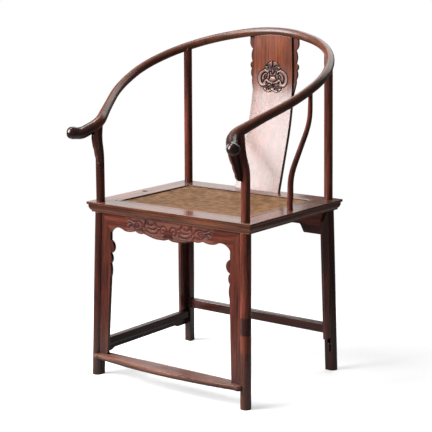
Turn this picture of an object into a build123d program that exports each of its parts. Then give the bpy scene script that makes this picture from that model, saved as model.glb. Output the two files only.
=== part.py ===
from build123d import *
import os
from math import hypot, radians, tan

# A horseshoe-back armchair. X runs across the chair, Y from front to back and Z up, with the
# origin on the floor under the middle of the seat frame. All sizes are in millimetres.

# Seat frame: four moulded rails, mitred at the corners
seat_width = 590
seat_depth = 470
seat_height = 524
frame_thickness = 30
frame_rail_width = 70
lip_height = 4.5
lip_round_height = 4
lip_round_depth = 3
fillet_step = 1
ovolo_height = 18
ovolo_depth = 6.5
lip_bulge = (0.3, 0.7)          # shares of the moulding's depth and height
ovolo_bulge = (0.2, 0.6)
mitre_tenon_width = 18
mitre_tenon_thickness = 9
mitre_tenon_inset = 46
mitre_tenon_cover = 8

# Soft seat: woven cane held down by strips, on two sagging battens
cane_thickness = 2.5
cane_clearance = 0.5
strip_width = 10
strip_thickness = 3.5
strip_rise = 0.5
strip_edge_radius = 1.4
batten_width = 30
batten_thickness = 14
batten_sag = 16
batten_spread = 75
batten_tenon = 14

# Legs: round outside, square towards the chair, each running up as a round post
leg_diameter = 31
leg_inset_x = 34
leg_inset_y = 25
leg_splay_x = 12
leg_splay_y = 15.5
post_diameter = 25.5
rear_post_set_y = 3.7
goose_neck_height = 138
goose_neck_rise = 50
goose_neck_shift_x = 5
goose_neck_shift_y = 13
goose_neck_radius = 140
front_post_head_offset = 8

# Crest rail: one sweeping line in five sections, ending in swelling hand-holds
crest_diameter = 25.6
crest_level_half = 63
crest_bend_share = 0.48
crest_end_diameter = 35
crest_swell_length = 215
crest_swell_steps = 20
crest_cap_depth = 15
crest_cap_radius = 14
back_joint_distance = 232
arm_joint_distance = 617
lap_length = 64
wedge_pin_width = 7
wedge_pin_height = 5
head_tenon_diameter = 12
head_tenon_cover = 5
post_stop = 4
# Corners of the rail's centre line on the right, from the back to the hand-hold: out from the
# seat frame's side, back from its rear edge or its front edge, and up from its top
crest_rear_corners = [(-96, 28, 453), (-8, -56, 417), (38, -166, 371)]
crest_front_corners = [(24, 177, 318), (-22, 77, 275), (-59.5, -4, 235.5), (-27, -45, 207.5)]
crest_back_corner = (72, 478)
crest_tip_corner = (-9, -65, 210.5)

# Side post: a slender upright bowed out from the seat rail to the crest rail, on the right
side_post_foot_diameter = 17.6
side_post_head_diameter = 13.2
side_post_inset = 28.5
side_post_y = -1
side_post_knee = 98
side_post_slant_rise = 158
side_post_head_set = 7
side_post_radius = 195
side_post_foot_tenon = 18
side_post_tenon_diameter = 9
side_post_steps = 9

# Splat: a bent panel with a carved medallion, and a lobed flange on each side of its head
splat_thickness = 12
splat_foot_width = 160
splat_head_width = 136
splat_front_inset = 23.5
splat_rake = 0.335
splat_sweep = 87.5
splat_bend_radius = 705
splat_foot_tenon = 15
splat_tongue_width = 90
splat_tongue_thickness = 5
flange_recess = 5.5
flange_length = 184
flange_width = 21
# The flange's outline upward from its foot: shares of its width, out, and of its length, up
flange_tail = [(0.66, 0.23), (0.62, 0.29)]
flange_lobes = [[(0.86, 0.37), (0.72, 0.44)], [(0.97, 0.5), (0.6, 0.56)], [(0.78, 0.67), (0.52, 0.77)]]
flange_head = [(0.9, 0.82), (1, 0.91)]
medallion_rise = 338
medallion_width = 114
medallion_height = 97
medallion_depth = 3.5
# The medallion's outline downward from its tip: shares of its width and of its height
medallion_tip = (0, 0.53)
medallion_lobes = [[(0.17, 0.45), (0.29, 0.25)], [(0.5, -0.03), (0.31, -0.34)], [(0.17, -0.47), (0, -0.42)]]

# Aprons and stiles: the three-piece front set is cut to a lobed arch
apron_setback = 8
front_apron_thickness = 10
side_apron_thickness = 9
apron_tongue = 5.5
apron_trim = 2
front_apron_drop = 85.5
# The arch's outline from the middle: share of its half width, and rise above its lowest line
apron_notch = [(0, 5.5), (0.045, 1.6), (0.11, 0)]
apron_swag = (0.24, 1)
apron_swag_tangents = ((1, 0), (1, 0.2))
apron_cusp = (0.42, 10.5)
apron_lobes = [[(0.49, 9), (0.56, 14.5)], [(0.66, 9.5), (0.76, 11)], [(0.86, 17.5), (1, 0)]]
front_stile_head_width = 30
front_stile_foot_width = 28
stile_lobe_start = 24
stile_lobe_notch = 1
stile_lobes = [(39, 13), (30, 5), (41, 2.5)]    # length along the edge and depth of each lobe
side_apron_height = 30
side_stile_width = 30
rear_apron_height = 55
rear_apron_drop = 25
rear_apron_drop_width = 74
rear_apron_corner_radius = 6.25

# Stretchers, rising from the footrest at the front to the back
stretcher_width = 22
stretcher_edge_radius = 4
left_stretcher_bottom = 80
left_stretcher_height = 24
back_stretcher_bottom = 112
back_stretcher_height = 30
stretcher_tenon_length = 14
stretcher_tenon_thickness = 10
stretcher_tenon_margin = 4
under_apron_thickness = 8
under_apron_height = 16
under_apron_drop = 6
under_apron_drop_length = 60
footrest_top = 68
footrest_thickness = 15
footrest_depth = 58
footrest_end_depth = 39
footrest_end_lap = 14
footrest_end_bury = 2
footrest_corner_set = 6
footrest_back_set = 14
footrest_tenon_length = 12
footrest_tenon_thickness = 7
footrest_edge_radius = 5

# Brackets under the hand-holds, in front of the posts
bracket_thickness = 9
bracket_reach = 39
bracket_height = 130
bracket_turn = 15
# The bracket's front edge upward from its toe: shares of its reach and of its height
bracket_toe = (0.1, -1)
bracket_waves = [
    [(0.33, -0.94), (0.4, -0.85)], [(0.56, -0.76), (0.64, -0.66)],
    [(0.79, -0.59), (0.9, -0.5)], [(0.98, -0.42), (1, -0.34)],
]
bracket_nose = [(0.95, -0.28), (0.6, -0.17)]

half_width = seat_width / 2
half_depth = seat_depth / 2
seat_underside = seat_height - frame_thickness
leg_x = half_width - leg_inset_x
leg_y = half_depth - leg_inset_y
leg_radius = leg_diameter / 2
post_radius = post_diameter / 2
crest_radius = crest_diameter / 2
reach = 2 * (seat_width + seat_depth + seat_height)
path_tolerance = 0.001


def spread(splay, z):
    # How far the leg has moved outward at height z
    return splay * (seat_height - z) / seat_height


def shared(share, width, height, x, z):
    # The point at these shares of a width and a height, counted from (x, z)
    return (x + share[0] * width, z + share[1] * height)


def mirrored(piece):
    with BuildPart() as other_side:
        mirror(piece.part, about=Plane.YZ)
    return other_side


# ---- Crest rail: centre line and uncut right half ----

def bend_radii(points):
    # The largest radius at each corner that leaves a short straight run between bends
    runs = [Vector(*b) - Vector(*a) for a, b in zip(points, points[1:])]
    radii = []
    for before, after in zip(runs, runs[1:]):
        tangent_length = crest_bend_share * min(before.length, after.length)
        radii.append(tangent_length / tan(radians(before.get_angle(after)) / 2))
    return radii


crest_back_y = half_depth + crest_back_corner[0]
crest_back_z = seat_height + crest_back_corner[1]
crest_corners = [(crest_level_half, crest_back_y, crest_back_z)]
for out, back, up in crest_rear_corners:
    crest_corners.append((half_width + out, half_depth + back, seat_height + up))
for out, back, up in crest_front_corners:
    crest_corners.append((half_width + out, back - half_depth, seat_height + up))
tip_out, tip_back, tip_up = crest_tip_corner
crest_corners.append((half_width + tip_out, tip_back - half_depth, seat_height + tip_up))
crest_radii = bend_radii([(-crest_level_half, crest_back_y, crest_back_z)] + crest_corners)

with BuildLine() as crest_line:
    FilletPolyline((0, crest_back_y, crest_back_z), *crest_corners, radius=crest_radii)
crest_path = crest_line.wire()
crest_length = crest_path.length


def path_point(path, distance):
    return path.position_at(distance, position_mode=PositionMode.LENGTH)


def path_plane(path, distance):
    tangent = path.tangent_at(distance, position_mode=PositionMode.LENGTH)
    return Plane(origin=path_point(path, distance), x_dir=(0, 0, 1), z_dir=tangent)


def crest_point_at(y):
    # The point of the centre line with this Y, found by halving
    low = 0
    high = crest_length
    while high - low > path_tolerance:
        middle = (low + high) / 2
        if path_point(crest_path, middle).Y > y:
            low = middle
        else:
            high = middle
    return path_point(crest_path, low)


def rod_sections(path, seam, start, end, start_radius, end_radius, steps):
    # Round sections along part of a path, whose radius eases from one end to the other
    sections = []
    for step in range(steps + 1):
        share = step / steps
        eased = share * share * (3 - 2 * share)
        distance = start + (end - start) * share
        tangent = path.tangent_at(distance, position_mode=PositionMode.LENGTH)
        with BuildSketch(Plane(path_point(path, distance), x_dir=seam, z_dir=tangent)) as section:
            Circle(start_radius + (end_radius - start_radius) * eased)
        sections.append(section.sketch)
    return sections


with BuildPart() as crest_run:
    with BuildSketch(path_plane(crest_path, 0)):
        Circle(crest_radius)
    sweep(path=crest_path.trim(0, 1 - crest_swell_length / crest_length))

with BuildPart() as hand_hold:
    loft(rod_sections(
        crest_path, (0, 0, 1), crest_length - crest_swell_length, crest_length,
        crest_radius, crest_end_diameter / 2, crest_swell_steps,
    ))
    with BuildSketch(path_plane(crest_path, crest_length)):
        Circle(crest_end_diameter / 2)
    extrude(amount=crest_cap_depth)
    fillet(hand_hold.edges().filter_by(GeomType.CIRCLE).sort_by(Axis.X)[-1], radius=crest_cap_radius)

with BuildPart() as crest_half:
    add(crest_run.part)
    add(hand_hold.part)


# ---- Legs and posts, before their joints are cut ----

def head_tenon(point, diameter):
    # The round tenon that enters the crest rail from a post's head
    with BuildPart() as tenon:
        with BuildSketch(Plane(origin=point - Vector(0, 0, crest_radius + head_tenon_cover))):
            Circle(diameter / 2)
        extrude(amount=crest_radius + 2 * head_tenon_cover)
    return tenon


def leg_blank(end, post_line, tenon):
    # The right-hand leg and its post; end is +1 at the back
    foot = Vector(leg_x + leg_splay_x, end * (leg_y + leg_splay_y), 0)
    knee = Vector(leg_x, end * leg_y, seat_height)
    axis = knee - foot
    with BuildPart() as blank:
        with BuildSketch(Plane(origin=foot)):
            Circle(leg_radius)
            with Locations((-leg_radius / 2, -end * leg_radius / 2)):
                Rectangle(leg_radius, leg_radius)
        extrude(amount=axis.length * seat_underside / seat_height, dir=axis)
        with BuildSketch(Plane(origin=foot + axis * (seat_underside / seat_height))):
            Circle(post_radius)
        extrude(amount=axis.length * frame_thickness / seat_height, dir=axis)
        with BuildSketch(Plane(origin=knee)):
            Circle(post_radius)
        if end > 0:
            rise = post_line @ 1 - post_line @ 0
            extrude(amount=rise.length, dir=rise)
        else:
            sweep(path=post_line)
        add(crest_half.part, mode=Mode.SUBTRACT)
        add(tenon.part)
    return blank


rear_head = crest_point_at(leg_y - rear_post_set_y)
neck_x = leg_x - goose_neck_shift_x
neck_y = leg_y + goose_neck_shift_y
neck_z = seat_height + goose_neck_height
front_head = crest_point_at(-neck_y) + Vector(front_post_head_offset, 0, 0)
with BuildLine() as rear_post_line:
    Line((leg_x, leg_y, seat_height), (rear_head.X, rear_head.Y, rear_head.Z - post_stop))
with BuildLine() as front_post_line:
    FilletPolyline(
        (leg_x, -leg_y, seat_height),
        (leg_x, -leg_y, neck_z),
        (neck_x, -neck_y, neck_z + goose_neck_rise),
        (front_head.X, -neck_y, front_head.Z - post_stop),
        radius=goose_neck_radius,
    )
rear_tenon = head_tenon(rear_head, head_tenon_diameter)
front_tenon = head_tenon(front_head, head_tenon_diameter)
rear_right_blank = leg_blank(1, rear_post_line.wire(), rear_tenon)
front_right_blank = leg_blank(-1, front_post_line.wire(), front_tenon)
rear_left_blank = mirrored(rear_right_blank)
front_left_blank = mirrored(front_right_blank)


# ---- Side post ----

side_post_foot_x = half_width - side_post_inset
side_post_head = crest_point_at(side_post_y + side_post_head_set)
side_post_knee_z = seat_height + side_post_knee
side_post_tenon = head_tenon(side_post_head, side_post_tenon_diameter)
with BuildPart() as right_side_post:
    with BuildLine() as side_post_line:
        FilletPolyline(
            (side_post_foot_x, side_post_y, seat_height),
            (side_post_foot_x, side_post_y, side_post_knee_z),
            (side_post_head.X, side_post_head.Y, side_post_knee_z + side_post_slant_rise),
            (side_post_head.X, side_post_head.Y, side_post_head.Z - post_stop),
            radius=side_post_radius,
        )
    side_post_path = side_post_line.wire()
    loft(rod_sections(
        side_post_path, (0, 1, 0), 0, side_post_path.length,
        side_post_foot_diameter / 2, side_post_head_diameter / 2, side_post_steps,
    ))
    add(crest_half.part, mode=Mode.SUBTRACT)
    with BuildSketch(Plane.XY.offset(seat_height - side_post_foot_tenon)):
        with Locations((side_post_foot_x, side_post_y)):
            Circle(side_post_foot_diameter / 2)
    extrude(amount=side_post_foot_tenon)
    add(side_post_tenon.part)
missing_side_post = mirrored(right_side_post)


# ---- Splat, its flanges and its medallion ----

def splat_slab(front_offset, back_offset):
    # The bent board between two offsets behind the splat's front face
    rake_length = hypot(1, splat_rake)
    foot_z = seat_height - splat_foot_tenon
    with BuildPart() as slab:
        with BuildSketch(Plane.YZ):
            with BuildLine():
                edges = []
                for offset_back in (front_offset, back_offset):
                    front_y = half_depth - splat_front_inset
                    foot_y = front_y + offset_back * rake_length - splat_foot_tenon * splat_rake
                    knee_y = front_y + splat_sweep + offset_back
                    knee_z = foot_z + (knee_y - foot_y) / splat_rake
                    edges.append(FilletPolyline(
                        (foot_y, foot_z), (knee_y, knee_z), (knee_y, crest_back_z),
                        radius=splat_bend_radius + offset_back,
                    ))
                Line(edges[0] @ 0, edges[1] @ 0)
                Line(edges[0] @ 1, edges[1] @ 1)
            make_face()
        extrude(amount=splat_foot_width, both=True)
    return slab


def splat_half_width(z):
    share = (z - seat_height) / (crest_back_z - seat_height)
    return (splat_foot_width + (splat_head_width - splat_foot_width) * share) / 2


# A cloud collar: a pointed upper lobe, two round side lobes and two low lobes at the foot
medallion_z = seat_height + medallion_rise
with BuildSketch(Plane.XZ) as medallion_outline:
    with BuildLine():
        start = shared(medallion_tip, medallion_width, medallion_height, 0, medallion_z)
        for bulge_share, end_share in medallion_lobes:
            bulge = shared(bulge_share, medallion_width, medallion_height, 0, medallion_z)
            end = shared(end_share, medallion_width, medallion_height, 0, medallion_z)
            ThreePointArc(start, bulge, end)
            start = end
        mirror(about=Plane.YZ)
    make_face()


splat_front_y = half_depth - splat_front_inset
with BuildPart() as medallion_pocket:
    extrude(medallion_outline.sketch, amount=-reach)
    add(splat_slab(-splat_thickness, medallion_depth).part, mode=Mode.INTERSECT)

with BuildPart() as splat_tongue:
    with BuildSketch(Plane.XY.offset(crest_back_z - 2 * crest_radius)):
        with Locations((0, splat_front_y + splat_sweep + splat_thickness / 2)):
            Rectangle(splat_tongue_width, splat_tongue_thickness)
    extrude(amount=2 * crest_radius)

with BuildPart() as splat:
    add(splat_slab(0, splat_thickness).part)
    with BuildSketch(Plane.XZ):
        foot_z = seat_height - splat_foot_tenon
        foot_half = splat_half_width(foot_z)
        head_half = splat_half_width(crest_back_z)
        Polygon(
            (-foot_half, foot_z), (foot_half, foot_z),
            (head_half, crest_back_z), (-head_half, crest_back_z),
            align=None,
        )
    extrude(amount=-reach, mode=Mode.INTERSECT)
    add(crest_half.part, mode=Mode.SUBTRACT)
    add(mirrored(crest_half).part, mode=Mode.SUBTRACT)
    add(medallion_pocket.part, mode=Mode.SUBTRACT)
    add(splat_tongue.part)

with BuildPart() as splat_right_flange:
    flange_foot_z = crest_back_z - crest_radius - flange_length
    edge_x = splat_half_width(crest_back_z)
    with BuildSketch(Plane.XZ):
        with BuildLine():
            foot = (splat_half_width(flange_foot_z), flange_foot_z)
            tail, start = [
                shared(share, flange_width, flange_length, edge_x, flange_foot_z) for share in flange_tail
            ]
            Polyline(foot, tail, start)
            for bulge_share, end_share in flange_lobes + [flange_head]:
                bulge = shared(bulge_share, flange_width, flange_length, edge_x, flange_foot_z)
                end = shared(end_share, flange_width, flange_length, edge_x, flange_foot_z)
                ThreePointArc(start, bulge, end)
                start = end
            Polyline(
                start, (edge_x + flange_width, crest_back_z), (0, crest_back_z), (0, flange_foot_z), foot,
            )
        make_face()
    extrude(amount=-reach)
    add(splat_slab(flange_recess, splat_thickness).part, mode=Mode.INTERSECT)
    add(splat.part, mode=Mode.SUBTRACT)
    add(crest_half.part, mode=Mode.SUBTRACT)
    with BuildSketch(Plane.XZ):
        with BuildLine():
            Polyline(
                (0, flange_foot_z), (splat_half_width(flange_foot_z), flange_foot_z),
                (edge_x, crest_back_z), (0, crest_back_z), close=True,
            )
        make_face()
    extrude(amount=-reach, mode=Mode.SUBTRACT)
splat_left_flange = mirrored(splat_right_flange)


# ---- Crest rail sections, scarfed and locked with wedge pins ----

def lap_plane(distance):
    # X along the rail and Y up across it, at the middle of a scarf joint
    tangent = crest_path.tangent_at(distance, position_mode=PositionMode.LENGTH)
    return Plane(path_point(crest_path, distance), x_dir=tangent, z_dir=tangent.cross(Vector(0, 0, 1)))


def beyond_joint(distance):
    # Everything past a scarf joint: its step gives the nearer section the upper tongue
    half_lap = lap_length / 2
    with BuildPart() as region:
        with BuildSketch(lap_plane(distance)):
            with BuildLine():
                Polyline(
                    (half_lap, reach), (half_lap, 0), (-half_lap, 0), (-half_lap, -reach),
                    (reach, -reach), (reach, reach), close=True,
                )
            make_face()
        extrude(amount=reach, both=True)
    return region


past_back_joint = beyond_joint(back_joint_distance)
past_arm_joint = beyond_joint(arm_joint_distance)

with BuildPart() as crest_wedge_pins:
    for distance in (back_joint_distance, arm_joint_distance):
        with BuildSketch(lap_plane(distance)):
            Rectangle(wedge_pin_width, wedge_pin_height)
        extrude(amount=crest_diameter, both=True)
    add(crest_half.part, mode=Mode.INTERSECT)
    mirror(about=Plane.YZ)

with BuildPart() as crest_back:
    add(crest_half.part)
    add(past_back_joint.part, mode=Mode.SUBTRACT)
    mirror(about=Plane.YZ)
    add(splat_tongue.part, mode=Mode.SUBTRACT)
    add(crest_wedge_pins.part, mode=Mode.SUBTRACT)

with BuildPart() as crest_right_shoulder:
    add(crest_half.part)
    add(past_back_joint.part, mode=Mode.INTERSECT)
    add(past_arm_joint.part, mode=Mode.SUBTRACT)
    add(rear_tenon.part, mode=Mode.SUBTRACT)
    add(side_post_tenon.part, mode=Mode.SUBTRACT)
    add(crest_wedge_pins.part, mode=Mode.SUBTRACT)
crest_left_shoulder = mirrored(crest_right_shoulder)

with BuildPart() as right_arm:
    add(crest_run.part)
    add(hand_hold.part)
    add(past_arm_joint.part, mode=Mode.INTERSECT)
    add(crest_wedge_pins.part, mode=Mode.SUBTRACT)
    add(front_tenon.part, mode=Mode.SUBTRACT)
left_arm = mirrored(right_arm)


# ---- Brackets under the hand-holds ----

# Each bracket stands in front of its post, turned a little inward under the rail
forward = Vector(0, -1, 0).rotate(Axis.Z, -bracket_turn)
with BuildPart() as right_arm_bracket:
    with BuildSketch(Plane(origin=front_head, x_dir=forward, z_dir=forward.cross(Vector(0, 0, 1)))):
        with BuildLine():
            start = shared(bracket_toe, bracket_reach, bracket_height, 0, 0)
            neck_drop = front_head.Z - neck_z
            Polyline(
                (0, -crest_radius), (0, goose_neck_rise - neck_drop), (-goose_neck_shift_y, -neck_drop),
                (-goose_neck_shift_y, -bracket_height), start,
            )
            for bulge_share, end_share in bracket_waves:
                bulge = shared(bulge_share, bracket_reach, bracket_height, 0, 0)
                end = shared(end_share, bracket_reach, bracket_height, 0, 0)
                ThreePointArc(start, bulge, end)
                start = end
            nose = [shared(share, bracket_reach, bracket_height, 0, 0) for share in bracket_nose]
            Polyline(start, *nose, (0, -crest_radius))
        make_face()
    extrude(amount=bracket_thickness / 2, both=True)
    add(crest_half.part, mode=Mode.SUBTRACT)
    add(front_right_blank.part, mode=Mode.SUBTRACT)
left_arm_bracket = mirrored(right_arm_bracket)


# ---- Soft seat ----

strip_outer_x = half_width - frame_rail_width + strip_width
strip_outer_y = half_depth - frame_rail_width + strip_width
cane_top = seat_height + strip_rise - strip_thickness

with BuildPart() as cane_panel:
    with BuildSketch(Plane.XY.offset(cane_top - cane_thickness)):
        Rectangle(2 * (strip_outer_x - cane_clearance), 2 * (strip_outer_y - cane_clearance))
    extrude(amount=cane_thickness)


def press_strip(corner_x, corner_y, run_dir):
    # A mitred strip along one side, from its outer corner
    with BuildPart() as strip:
        length = 2 * (abs(corner_x) if run_dir[0] else abs(corner_y))
        with BuildSketch(Plane(origin=(corner_x, corner_y, cane_top), x_dir=run_dir, z_dir=(0, 0, 1))):
            Polygon(
                (0, 0), (length, 0), (length - strip_width, strip_width), (strip_width, strip_width),
                align=None,
            )
        extrude(amount=strip_thickness)
        top_edges = strip.faces().sort_by(Axis.Z)[-1].edges().sort_by(SortBy.LENGTH)
        fillet(top_edges[-2], radius=strip_edge_radius)
    return strip


front_press_strip = press_strip(-strip_outer_x, -strip_outer_y, (1, 0, 0))
right_press_strip = press_strip(strip_outer_x, -strip_outer_y, (0, 1, 0))
back_press_strip = press_strip(strip_outer_x, strip_outer_y, (-1, 0, 0))
left_press_strip = press_strip(-strip_outer_x, strip_outer_y, (0, -1, 0))


def seat_batten(x):
    # A bowed bar let into the front and back rails, clear of the cane when it sags
    end_y = half_depth - frame_rail_width + batten_tenon
    top = cane_top - cane_thickness
    with BuildPart() as batten:
        with BuildSketch(Plane.YZ.offset(x)):
            with BuildLine():
                ThreePointArc((-end_y, top), (0, top - batten_sag), (end_y, top))
                Line((end_y, top), (end_y, top - batten_thickness))
                ThreePointArc(
                    (end_y, top - batten_thickness), (0, top - batten_sag - batten_thickness),
                    (-end_y, top - batten_thickness),
                )
                Line((-end_y, top - batten_thickness), (-end_y, top))
            make_face()
        extrude(amount=batten_width / 2, both=True)
    return batten


left_seat_batten = seat_batten(-batten_spread)
right_seat_batten = seat_batten(batten_spread)


# ---- Seat frame rails ----

def frame_rail(corner_x, corner_y, run_dir, tenoned, mates):
    # One moulded rail from its outer top corner: local X runs inward, local Y up
    run = Vector(*run_dir)
    inward = Vector(0, 0, 1).cross(run)
    corner = Vector(corner_x, corner_y, seat_height)
    length = 2 * abs(corner_x if run_dir[0] else corner_y)
    rabbet_x = frame_rail_width - strip_width
    rabbet_y = strip_rise - strip_thickness - cane_thickness
    with BuildPart() as rail:
        with BuildSketch(Plane(origin=corner, x_dir=inward, z_dir=run)):
            with BuildLine():
                lip_foot = (0, -lip_height)
                lip_return = (lip_round_depth, -lip_height - lip_round_height)
                ovolo_top = (lip_return[0] + fillet_step, lip_return[1])
                ovolo_foot = (ovolo_top[0] + ovolo_depth, ovolo_top[1] - ovolo_height)
                Line((0, 0), lip_foot)
                ThreePointArc(
                    lip_foot, shared(lip_bulge, lip_round_depth, -lip_round_height, *lip_foot), lip_return,
                )
                Line(lip_return, ovolo_top)
                ThreePointArc(
                    ovolo_top, shared(ovolo_bulge, ovolo_depth, -ovolo_height, *ovolo_top), ovolo_foot,
                )
                Polyline(
                    ovolo_foot, (ovolo_foot[0], -frame_thickness), (frame_rail_width, -frame_thickness),
                    (frame_rail_width, rabbet_y), (rabbet_x, rabbet_y), (rabbet_x, 0), (0, 0),
                )
            make_face()
        extrude(amount=length)
        plan = Plane(origin=corner, x_dir=run, z_dir=(0, 0, 1))
        with BuildSketch(plan):
            Polygon(
                (0, 0), (length, 0), (length - frame_rail_width, frame_rail_width),
                (frame_rail_width, frame_rail_width), align=None,
            )
        extrude(amount=-frame_thickness, mode=Mode.INTERSECT)
        if tenoned:
            tenon_plan = plan.offset(-(frame_thickness + mitre_tenon_thickness) / 2)
            with BuildSketch(tenon_plan):
                with Locations((length / 2, mitre_tenon_inset + mitre_tenon_width / 2)):
                    Rectangle(length - 2 * mitre_tenon_cover, mitre_tenon_width)
            extrude(amount=mitre_tenon_thickness)
        for mate in mates:
            add(mate.part, mode=Mode.SUBTRACT)
    return rail


leg_blanks = [front_right_blank, front_left_blank, rear_right_blank, rear_left_blank]
battens = [left_seat_batten, right_seat_batten]
seat_front_rail = frame_rail(-half_width, -half_depth, (1, 0, 0), True, leg_blanks + battens)
seat_back_rail = frame_rail(half_width, half_depth, (-1, 0, 0), True, leg_blanks + battens + [splat])
tenoned_rails = [seat_front_rail, seat_back_rail]
seat_right_rail = frame_rail(
    half_width, -half_depth, (0, 1, 0), False, leg_blanks + tenoned_rails + [right_side_post]
)
seat_left_rail = frame_rail(
    -half_width, half_depth, (0, -1, 0), False, leg_blanks + tenoned_rails + [missing_side_post]
)


# ---- Aprons and stiles, in the planes of the splayed legs ----

def apron_plane(outward, leg_distance, splay):
    # The outer face of the aprons on one side: local Y climbs with the legs from the seat's top
    normal = Vector(*outward) * seat_height + Vector(0, 0, splay)
    origin = Vector(*outward) * (leg_distance + apron_setback) + Vector(0, 0, seat_height)
    return Plane(origin=origin, x_dir=Vector(0, 0, 1).cross(Vector(*outward)), z_dir=normal)


def leg_face(leg_distance, splay, z):
    # How far out the leg's inner face stands at height z
    return leg_distance + spread(splay, z) - leg_radius


front_plane = apron_plane((0, -1, 0), leg_y, leg_splay_y)
rear_plane = apron_plane((0, 1, 0), leg_y, leg_splay_y)
left_plane = apron_plane((-1, 0, 0), leg_x, leg_splay_x)
under_seat = seat_underside - seat_height
mitre_top = leg_face(leg_x, leg_splay_x, seat_underside)
arch_edge = mitre_top - front_stile_head_width


with BuildPart() as front_apron:
    low = -front_apron_drop
    with BuildSketch(front_plane):
        with BuildLine():
            notch = [shared(share, arch_edge, 1, 0, low) for share in apron_notch]
            ThreePointArc(*notch)
            start = shared(apron_cusp, arch_edge, 1, 0, low)
            Spline(notch[-1], shared(apron_swag, arch_edge, 1, 0, low), start, tangents=apron_swag_tangents)
            for bulge_share, end_share in apron_lobes:
                bulge = shared(bulge_share, arch_edge, 1, 0, low)
                end = shared(end_share, arch_edge, 1, 0, low)
                ThreePointArc(start, bulge, end)
                start = end
            Polyline((arch_edge, low), (mitre_top, under_seat), (mitre_top, 0), (0, 0))
            mirror(about=Plane.YZ)
        make_face()
    extrude(amount=-front_apron_thickness)
    split(bisect_by=Plane.XY.offset(seat_underside), keep=Keep.BOTTOM)

stile_bottom = footrest_top - seat_height
with BuildPart() as front_right_stile:
    with BuildSketch(front_plane):
        with BuildLine():
            foot_x = leg_face(leg_x, leg_splay_x, footrest_top)
            lobe_top = -front_apron_drop - stile_lobe_start
            Line((arch_edge, -front_apron_drop), (arch_edge, lobe_top))
            lobe_x = arch_edge
            for lobe_length, lobe_depth in stile_lobes:
                lobe_end = (arch_edge + stile_lobe_notch, lobe_top - lobe_length)
                ThreePointArc(
                    (lobe_x, lobe_top), (arch_edge - lobe_depth, lobe_top - lobe_length / 2), lobe_end,
                )
                lobe_x, lobe_top = lobe_end
            Polyline(
                (lobe_x, lobe_top), (foot_x - front_stile_foot_width, stile_bottom - apron_trim),
                (foot_x + apron_tongue, stile_bottom - apron_trim), (mitre_top + apron_tongue, 0),
                (mitre_top + apron_tongue, under_seat), (mitre_top, under_seat),
                (arch_edge, -front_apron_drop),
            )
        make_face()
    extrude(amount=-front_apron_thickness)
    split(bisect_by=Plane.XY.offset(seat_underside), keep=Keep.BOTTOM)
    split(bisect_by=Plane.XY.offset(footrest_top), keep=Keep.TOP)
front_left_stile = mirrored(front_right_stile)


stretcher_top = left_stretcher_bottom + left_stretcher_height
side_mitre = leg_face(leg_y, leg_splay_y, seat_underside)

with BuildPart() as left_apron:
    with BuildSketch(left_plane):
        with BuildLine():
            Polyline(
                (side_mitre, 0), (side_mitre, under_seat),
                (side_mitre - side_stile_width, under_seat - side_apron_height),
                (0, under_seat - side_apron_height),
            )
            mirror(about=Plane.YZ)
            Line((side_mitre, 0), (-side_mitre, 0))
        make_face()
    extrude(amount=-side_apron_thickness)
    split(bisect_by=Plane.XY.offset(seat_underside), keep=Keep.BOTTOM)


def left_stile(end):
    # end is +1 at the front, along the plane's own X
    foot_y = leg_face(leg_y, leg_splay_y, stretcher_top)
    bottom = stretcher_top - seat_height - apron_trim
    with BuildPart() as stile:
        with BuildSketch(left_plane):
            with BuildLine():
                Polyline(
                    (end * side_mitre, under_seat), (end * (side_mitre + apron_tongue), under_seat),
                    (end * (foot_y + apron_tongue), bottom), (end * (foot_y - side_stile_width), bottom),
                    (end * (side_mitre - side_stile_width), under_seat - side_apron_height), close=True,
                )
            make_face()
        extrude(amount=-side_apron_thickness)
        split(bisect_by=Plane.XY.offset(seat_underside), keep=Keep.BOTTOM)
        split(bisect_by=Plane.XY.offset(stretcher_top), keep=Keep.TOP)
    return stile


left_front_stile = left_stile(1)
left_rear_stile = left_stile(-1)
right_rear_stile = mirrored(left_rear_stile)

with BuildPart() as rear_apron:
    rear_end = leg_face(leg_x, leg_splay_x, seat_underside - rear_apron_height) + apron_tongue
    drop_x = rear_end - apron_tongue - rear_apron_drop_width
    rear_low = under_seat - rear_apron_height
    with BuildSketch(rear_plane):
        with BuildLine():
            Polyline(
                (0, rear_low), (drop_x - rear_apron_drop / 2, rear_low), (drop_x, rear_low - rear_apron_drop),
                (rear_end, rear_low - rear_apron_drop), (rear_end, 0),
            )
            mirror(about=Plane.YZ)
            Line((rear_end, 0), (-rear_end, 0))
        make_face()
        inner_corners = vertices().filter_by(lambda corner: abs(corner.X) < rear_end - apron_tongue)
        fillet(inner_corners, radius=rear_apron_corner_radius)
    extrude(amount=-side_apron_thickness)
    split(bisect_by=Plane.XY.offset(seat_underside), keep=Keep.BOTTOM)


# ---- Stretchers and footrest ----

def stretcher(run_plane, across, run, height, middle_z, blanks):
    # A bar between two legs, shaped to their faces; run is half the distance between leg centres
    with BuildPart() as tenons:
        with BuildSketch(run_plane.offset(leg_radius - run - stretcher_tenon_length)):
            with Locations((across, middle_z)):
                Rectangle(stretcher_tenon_thickness, height - 2 * stretcher_tenon_margin)
        extrude(amount=2 * (run - leg_radius + stretcher_tenon_length))
    with BuildPart() as bar:
        with BuildSketch(run_plane.offset(-run)):
            with Locations((across, middle_z)):
                RectangleRounded(stretcher_width, height, stretcher_edge_radius)
        extrude(amount=2 * run)
        for blank in blanks:
            add(blank.part, mode=Mode.SUBTRACT)
        add(tenons.part)
    return bar, tenons


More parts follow.
